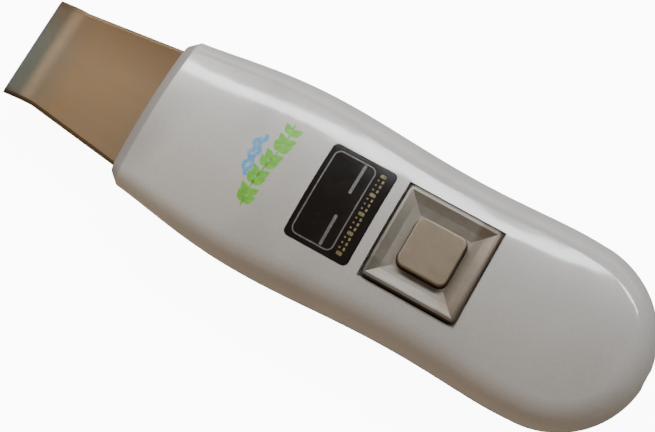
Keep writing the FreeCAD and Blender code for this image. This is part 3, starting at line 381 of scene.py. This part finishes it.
LOOKS = {
    "pearl_shell": pearl_shell,
    "blade_steel": blade_steel,
    "gasket": lambda: grained("black_rubber", (0.025, 0.025, 0.026), (0.05, 0.048, 0.045), 900, 0.03),
    "piezo": lambda: lined("silvered_ceramic", (0.66, 0.65, 0.60), (0.50, 0.48, 0.42), (1, 1, 1), 900,
                           metallic=0.7),
    "inner_plastic": lambda: grained("inner_plastic", (0.66, 0.66, 0.63), (0.58, 0.58, 0.55)),
    "screw_steel": lambda: lined("zinc_steel", (0.42, 0.42, 0.43), (0.28, 0.28, 0.29), (1, 1, 0.1), 2200),
    "plated_metal": plated_bezel,
    "plated_button": lambda: satin_metal("button_plate", (0.255, 0.205, 0.15), (0.28, 0.23, 0.17),
                                         (0.23, 0.185, 0.135)),
    "black_window": lambda: glossy("black_acrylic", (0.010, 0.008, 0.007), (0.018, 0.016, 0.014),
                                   (0.12, 0.22), Specular_IOR_Level=0.22),
    "adhesive": lambda: grained("foam_tape", (0.06, 0.06, 0.06), (0.10, 0.10, 0.10), 1600, 0.03),
    "board": board_look,
    "black_component": lambda: grained("epoxy", (0.022, 0.022, 0.024), (0.035, 0.035, 0.036), 2600, 0.01),
    "white_guide": lambda: glossy("milky_guide", (0.80, 0.80, 0.78), (0.74, 0.74, 0.71), (0.3, 0.45)),
    "lamp": lambda: glossy("lamp_resin", (0.80, 0.78, 0.52), (0.88, 0.86, 0.66), (0.1, 0.2)),
    "ferrite": lambda: grained("ferrite", (0.06, 0.06, 0.066), (0.10, 0.10, 0.105), 1800, 0.02),
    "copper": lambda: lined("enamelled_copper", (0.58, 0.24, 0.10), (0.36, 0.13, 0.05), (0.3, 0.3, 9),
                            700, 0.06),
    "capacitor_can": lambda: glossy("can_sleeve", (0.06, 0.075, 0.15), (0.09, 0.11, 0.20), (0.2, 0.35)),
    "connector_white": lambda: grained("connector_nylon", (0.76, 0.74, 0.66), (0.68, 0.66, 0.58)),
    "battery_pouch": lambda: lined("pouch_foil", (0.58, 0.59, 0.61), (0.48, 0.49, 0.51), (1, 1, 1), 120,
                                   0.15, metallic=0.85),
    "foam": lambda: grained("open_foam", (0.07, 0.07, 0.07), (0.02, 0.02, 0.02), 1300, 0.2, (0.8, 0.95)),
    "contact_metal": lambda: lined("plated_contact", (0.66, 0.55, 0.32), (0.52, 0.42, 0.24), (0.1, 1, 1),
                                   1800),
    "wire_insulation": lambda: glossy("wire_insulation", (0.42, 0.03, 0.025), (0.50, 0.05, 0.04),
                                      (0.35, 0.5)),
    "ink_green": lambda: grained("ink_green", (0.13, 0.42, 0.03), (0.22, 0.52, 0.06), 900, 0.01),
    "ink_blue": lambda: grained("ink_blue", (0.11, 0.30, 0.52), (0.20, 0.42, 0.62), 900, 0.01),
    "ink_grey": lambda: grained("ink_grey", (0.11, 0.10, 0.095), (0.07, 0.066, 0.062), 1500, 0.01),
    "ink_olive": lambda: grained("ink_olive", (0.15, 0.115, 0.04), (0.08, 0.066, 0.03), 1500, 0.01),
}
made_looks = {}


def give_look(piece, slot):
    """Puts the look of that name on a piece, built once and shared."""
    if slot not in made_looks:
        made_looks[slot] = LOOKS[slot]().material
    piece.data.materials.clear()
    piece.data.materials.append(made_looks[slot])


# ---- printing ---------------------------------------------------------------

def surface_of(node):
    """Gives a function for the height of a node's upper side at a point in millimetres."""
    mesh = frame["nodes"][node].data
    tree = BVHTree.FromPolygons([vertex.co[:] for vertex in mesh.vertices],
                                [polygon.vertices[:] for polygon in mesh.polygons])

    above = cad_box[1][2] * 2

    def height(x, y):
        hit = tree.ray_cast(Vector((x * MM, y * MM, above)), Vector((0, 0, -1)))[0]
        return hit.z
    return height


def printed(name, outlines, node, look):
    """Film of ink let into the upper side of a node: outlines are closed lists of mm points."""
    height = surface_of(node)
    shape = bmesh.new()
    for outline in outlines:
        shape.faces.new([shape.verts.new((x, y, 0)) for x, y in outline])
    bmesh.ops.remove_doubles(shape, verts=shape.verts, dist=1e-3)
    for axis in (Vector((1, 0, 0)), Vector((0, 1, 0))):
        reach = [axis.dot(vertex.co) for vertex in shape.verts]
        at = math.ceil(min(reach))
        while at < max(reach):
            bmesh.ops.bisect_plane(shape, geom=shape.verts[:] + shape.edges[:] + shape.faces[:],
                                   plane_co=axis * at, plane_no=axis)
            at += CUT_SPACING
    lower = bmesh.ops.extrude_face_region(shape, geom=shape.faces[:])["geom"]
    lower = {item for item in lower if isinstance(item, bmesh.types.BMVert)}
    for vertex in shape.verts:
        x, y = vertex.co.x, vertex.co.y
        lift = -INK_LIFT if vertex in lower else INK_LIFT
        vertex.co = (x * MM, y * MM, height(x, y) + lift)
    bmesh.ops.recalc_face_normals(shape, faces=shape.faces)
    mesh = bpy.data.meshes.new(name)
    shape.to_mesh(mesh)
    shape.free()
    piece = bpy.data.objects.new(name, mesh)
    bpy.context.scene.collection.objects.link(piece)
    give_look(piece, look)
    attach(piece, "handset")


def rounded(x, y, length, width, radius, steps=6):
    """Outline of a rounded rectangle."""
    points = []
    for turn, (sx, sy) in enumerate(((1, 1), (-1, 1), (-1, -1), (1, -1))):
        for step in range(steps + 1):
            angle = math.radians(90 * (turn + step / steps))
            points.append((x + sx * (length / 2 - radius) + radius * math.cos(angle),
                           y + sy * (width / 2 - radius) + radius * math.sin(angle)))
    return points


def stroke(points, width):
    """Quads of a ribbon that follows a path with an even width. A closed path repeats its start."""
    path = [Vector(point) for point in points]
    closed = (path[0] - path[-1]).length < 1e-6
    sides = []
    for index, point in enumerate(path):
        before = path[index - 1] if index else (path[-2] if closed else point)
        after = path[index + 1] if index + 1 < len(path) else (path[1] if closed else point)
        run = (after - before).normalized()
        off = Vector((-run.y, run.x)) * width / 2
        sides.append((tuple(point + off), tuple(point - off)))
    return [[start[0], start[1], end[1], end[0]] for start, end in zip(sides, sides[1:])]


def leaf(x, y, angle, length, width, steps=8):
    """Outline of a pointed leaf from its foot at (x, y)."""
    run = Vector((math.cos(angle), math.sin(angle)))
    across = Vector((-run.y, run.x))
    shares = [step / steps for step in range(steps + 1)]
    left = [(share, math.sin(math.pi * share ** 0.8)) for share in shares]
    points = [run * length * share + across * width / 2 * bulge for share, bulge in left]
    points += [run * length * share - across * width / 2 * bulge for share, bulge in left[-2:0:-1]]
    return [(x + point.x, y + point.y) for point in points]


def make_window_print():
    """A rounded outline with two bars in it, and rows of dots and dashes behind it."""
    low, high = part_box("display_window")
    rear, front, half = low[0] / MM, high[0] / MM, high[1] / MM
    margin = 1.3
    outline_rear = rear + 4.9
    outline_front = front - margin
    outline = rounded((outline_front + outline_rear) / 2, 0, outline_front - outline_rear,
                      2 * (half - margin), 1.6)
    line_width = 0.34
    printed("window_outline", stroke(outline + outline[:1], line_width), "display_window", "ink_grey")
    bar_x = outline_rear + 2.9
    bar_length, bar_width, bar_y = 8.0, 0.75, 6.9
    bars = [rounded(bar_x, y, bar_width, bar_length, 0.36) for y in (-bar_y, bar_y)]
    printed("window_bars", bars, "display_window", "ink_grey")
    rows, pitch, long_every = 17, 1.3, 4
    marks = []
    for index in range(rows):
        y = (index - rows // 2) * pitch
        if index % long_every == 0:
            marks.append(rounded(rear + 2.9, y, 1.5, 0.9, 0.3))
            continue
        marks.append(rounded(rear + 2.35, y, 0.55, 0.8, 0.2))
        marks.append(rounded(rear + 3.5, y, 0.5, 0.5, 0.24))
    printed("window_marks", marks, "display_window", "ink_olive")


def make_sprig(foot, tip):
    """A gently waving stem with pairs of leaves."""
    stem_steps, stem_wave, stem_width = 24, 0.55, 0.45
    leaf_pairs, leaf_turn, leaf_length, leaf_width = 9, 0.8, 3.3, 2.0
    run = tip - foot
    side = Vector((-run.y, run.x)).normalized()
    stem = []
    for step in range(stem_steps + 1):
        share = step / stem_steps
        stem.append(tuple(foot + run * share + side * stem_wave * math.sin(share * 2 * math.pi)))
    outlines = stroke(stem, stem_width)
    heading = math.atan2(run.y, run.x)
    for index in range(leaf_pairs):
        x, y = stem[1 + index * 5 // 2]
        for turn in (leaf_turn, -leaf_turn):
            outlines.append(leaf(x, y, heading + turn, leaf_length, leaf_width))
    printed("sprig", outlines, "top_shell", "ink_green")


def make_ripples(x, y):
    """Two waving lines side by side, across the handle."""
    steps, waves, wave_height, line_width, lean = 30, 3, 0.45, 1.0, 0.3
    outlines = []
    for row, (offset, reach) in enumerate(((3.6, 5.6), (4.9, 4.4))):
        line = []
        for step in range(steps + 1):
            share = step / steps * 2 - 1
            wave = wave_height * math.sin(share * waves * math.pi + row)
            line.append((x + offset + wave - share * lean, share * reach + y))
        outlines += stroke(line, line_width)
    printed("ripples", outlines, "top_shell", "ink_blue")


# ---- scene ------------------------------------------------------------------

make_camera()
make_lights()
make_world()
make_floor()
for part in frame["record"]["subparts"]:
    give_look(frame["nodes"][part["node"]], part["material_slot"])
make_window_print()
make_sprig(foot=Vector((16.0, 11.6)), tip=Vector((14.6, -11.6)))
make_ripples(15.3, -0.6)
